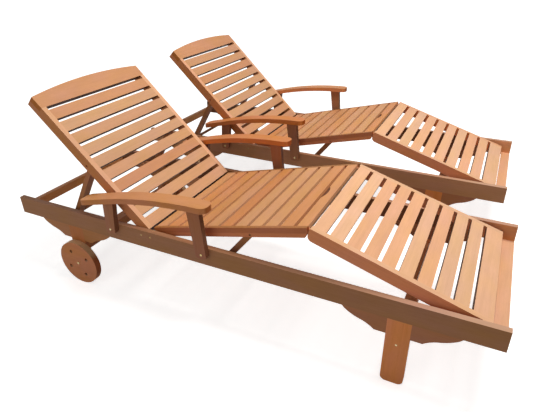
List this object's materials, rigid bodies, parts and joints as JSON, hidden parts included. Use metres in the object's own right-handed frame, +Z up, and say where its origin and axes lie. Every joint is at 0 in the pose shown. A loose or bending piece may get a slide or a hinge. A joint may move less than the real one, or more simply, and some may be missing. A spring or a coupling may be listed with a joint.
{
  "type": "wheeled wooden sun lounger pair",
  "caption": "Matching wooden sun loungers side by side, each with adjustable slatted backrest, raised knee, sliding leg rest, curved armrests and wheels at the head end.",
  "frame": {"origin": "centre of the pair's outline at ground level", "axes": "+X towards the feet ends, +Y towards the left side of someone lying on them, +Z up"},
  "size_m": [2.052, 1.718, 0.831],
  "materials": {
    "frame_wood": "oiled, satin",
    "slat_wood": "oiled, satin",
    "arm_wood": "oiled, satin",
    "wheel_wood": "oiled, satin",
    "steel": "dull plated"
  },
  "bodies": {
    "frames": {"lounger_a_side_rail_right": "frame_wood", "lounger_a_side_rail_left": "frame_wood", "lounger_a_head_bar": "frame_wood", "lounger_a_foot_bar": "frame_wood", "lounger_a_head_aprons": "frame_wood", "lounger_a_foot_aprons": "frame_wood", "lounger_a_wheel_legs": "frame_wood", "lounger_a_foot_legs": "frame_wood", "lounger_a_leg_stretchers": "frame_wood", "lounger_a_back_racks": "frame_wood", "lounger_a_knee_racks": "frame_wood", "lounger_a_arm_right": "arm_wood", "lounger_a_arm_left": "arm_wood", "lounger_a_arm_posts_right": "frame_wood", "lounger_a_arm_posts_left": "frame_wood", "lounger_a_frame_bolts": "steel", "lounger_b_side_rail_right": "frame_wood", "lounger_b_side_rail_left": "frame_wood", "lounger_b_head_bar": "frame_wood", "lounger_b_foot_bar": "frame_wood", "lounger_b_head_aprons": "frame_wood", "lounger_b_foot_aprons": "frame_wood", "lounger_b_wheel_legs": "frame_wood", "lounger_b_foot_legs": "frame_wood", "lounger_b_leg_stretchers": "frame_wood", "lounger_b_back_racks": "frame_wood", "lounger_b_knee_racks": "frame_wood", "lounger_b_arm_right": "arm_wood", "lounger_b_arm_left": "arm_wood", "lounger_b_arm_posts_right": "frame_wood", "lounger_b_arm_posts_left": "frame_wood", "lounger_b_frame_bolts": "steel"},
    "lounger_a_wheel_right": {"lounger_a_wheel_right": "wheel_wood"},
    "lounger_a_wheel_left": {"lounger_a_wheel_left": "wheel_wood"},
    "lounger_a_backrest": {"lounger_a_crest_rail": "slat_wood", "lounger_a_backrest_stiles": "slat_wood", "lounger_a_backrest_slats": "slat_wood"},
    "lounger_a_back_prop": {"lounger_a_back_prop": "frame_wood"},
    "lounger_a_seat": {"lounger_a_seat_rails": "slat_wood", "lounger_a_seat_slats": "slat_wood"},
    "lounger_a_leg_rest": {"lounger_a_leg_rest_stiles": "slat_wood", "lounger_a_leg_rest_slats": "slat_wood", "lounger_a_leg_rest_pins": "steel"},
    "lounger_a_knee_prop": {"lounger_a_knee_prop": "frame_wood"},
    "lounger_b_wheel_right": {"lounger_b_wheel_right": "wheel_wood"},
    "lounger_b_wheel_left": {"lounger_b_wheel_left": "wheel_wood"},
    "lounger_b_backrest": {"lounger_b_crest_rail": "slat_wood", "lounger_b_backrest_stiles": "slat_wood", "lounger_b_backrest_slats": "slat_wood"},
    "lounger_b_back_prop": {"lounger_b_back_prop": "frame_wood"},
    "lounger_b_seat": {"lounger_b_seat_rails": "slat_wood", "lounger_b_seat_slats": "slat_wood"},
    "lounger_b_leg_rest": {"lounger_b_leg_rest_stiles": "slat_wood", "lounger_b_leg_rest_slats": "slat_wood", "lounger_b_leg_rest_pins": "steel"},
    "lounger_b_knee_prop": {"lounger_b_knee_prop": "frame_wood"}
  },
  "joints": [
    {"name": "lounger_a_backrest_hinge", "type": "hinge", "parent": "frames", "child": "lounger_a_backrest", "pos_m": [-0.297, -0.486, 0.326], "axis": [0, 1, 0], "range_deg": [-44.2, 5]},
    {"name": "lounger_a_back_prop_swing", "type": "hinge", "parent": "lounger_a_backrest", "child": "lounger_a_back_prop", "pos_m": [-0.54218, -0.486, 0.56443], "axis": [0, -1, 0], "range_deg": [-98.6, 11.4]},
    {"name": "lounger_a_seat_hinge", "type": "hinge", "parent": "frames", "child": "lounger_a_seat", "pos_m": [-0.254, -0.486, 0.325], "axis": [0, -1, 0], "range_deg": [-14.04, 3]},
    {"name": "lounger_a_knee_hinge", "type": "hinge", "parent": "lounger_a_seat", "child": "lounger_a_leg_rest", "pos_m": [0.38754, -0.486, 0.48894], "axis": [0, 1, 0], "range_deg": [-31.1, 6.8]},
    {"name": "lounger_a_knee_prop_swing", "type": "hinge", "parent": "lounger_a_seat", "child": "lounger_a_knee_prop", "pos_m": [0.16936, -0.486, 0.42675], "axis": [0, -1, 0], "range_deg": [-29.4, 6.4]},
    {"name": "lounger_a_wheel_right_spin", "type": "hinge", "parent": "frames", "child": "lounger_a_wheel_right", "pos_m": [-0.662, -0.826, 0.102], "axis": [0, 1, 0], "continuous": true},
    {"name": "lounger_a_wheel_left_spin", "type": "hinge", "parent": "frames", "child": "lounger_a_wheel_left", "pos_m": [-0.662, -0.146, 0.102], "axis": [0, 1, 0], "continuous": true},
    {"name": "lounger_b_backrest_hinge", "type": "hinge", "parent": "frames", "child": "lounger_b_backrest", "pos_m": [-0.349, 0.486, 0.326], "axis": [0, 1, 0], "range_deg": [-44.2, 5]},
    {"name": "lounger_b_back_prop_swing", "type": "hinge", "parent": "lounger_b_backrest", "child": "lounger_b_back_prop", "pos_m": [-0.59418, 0.486, 0.56443], "axis": [0, -1, 0], "range_deg": [-98.6, 11.4]},
    {"name": "lounger_b_seat_hinge", "type": "hinge", "parent": "frames", "child": "lounger_b_seat", "pos_m": [-0.306, 0.486, 0.325], "axis": [0, -1, 0], "range_deg": [-14.04, 3]},
    {"name": "lounger_b_knee_hinge", "type": "hinge", "parent": "lounger_b_seat", "child": "lounger_b_leg_rest", "pos_m": [0.33554, 0.486, 0.48894], "axis": [0, 1, 0], "range_deg": [-31.1, 6.8]},
    {"name": "lounger_b_knee_prop_swing", "type": "hinge", "parent": "lounger_b_seat", "child": "lounger_b_knee_prop", "pos_m": [0.11736, 0.486, 0.42675], "axis": [0, -1, 0], "range_deg": [-29.4, 6.4]},
    {"name": "lounger_b_wheel_right_spin", "type": "hinge", "parent": "frames", "child": "lounger_b_wheel_right", "pos_m": [-0.714, 0.146, 0.102], "axis": [0, 1, 0], "continuous": true},
    {"name": "lounger_b_wheel_left_spin", "type": "hinge", "parent": "frames", "child": "lounger_b_wheel_left", "pos_m": [-0.714, 0.826, 0.102], "axis": [0, 1, 0], "continuous": true}
  ],
  "couplings": [
    {"joint": "lounger_a_back_prop_swing", "follows": "lounger_a_backrest_hinge", "ratio": 2.2229},
    {"joint": "lounger_a_knee_hinge", "follows": "lounger_a_seat_hinge", "ratio": 2.2015},
    {"joint": "lounger_a_knee_prop_swing", "follows": "lounger_a_seat_hinge", "ratio": 2.0813},
    {"joint": "lounger_b_back_prop_swing", "follows": "lounger_b_backrest_hinge", "ratio": 2.2229},
    {"joint": "lounger_b_knee_hinge", "follows": "lounger_b_seat_hinge", "ratio": 2.2015},
    {"joint": "lounger_b_knee_prop_swing", "follows": "lounger_b_seat_hinge", "ratio": 2.0813}
  ]
}
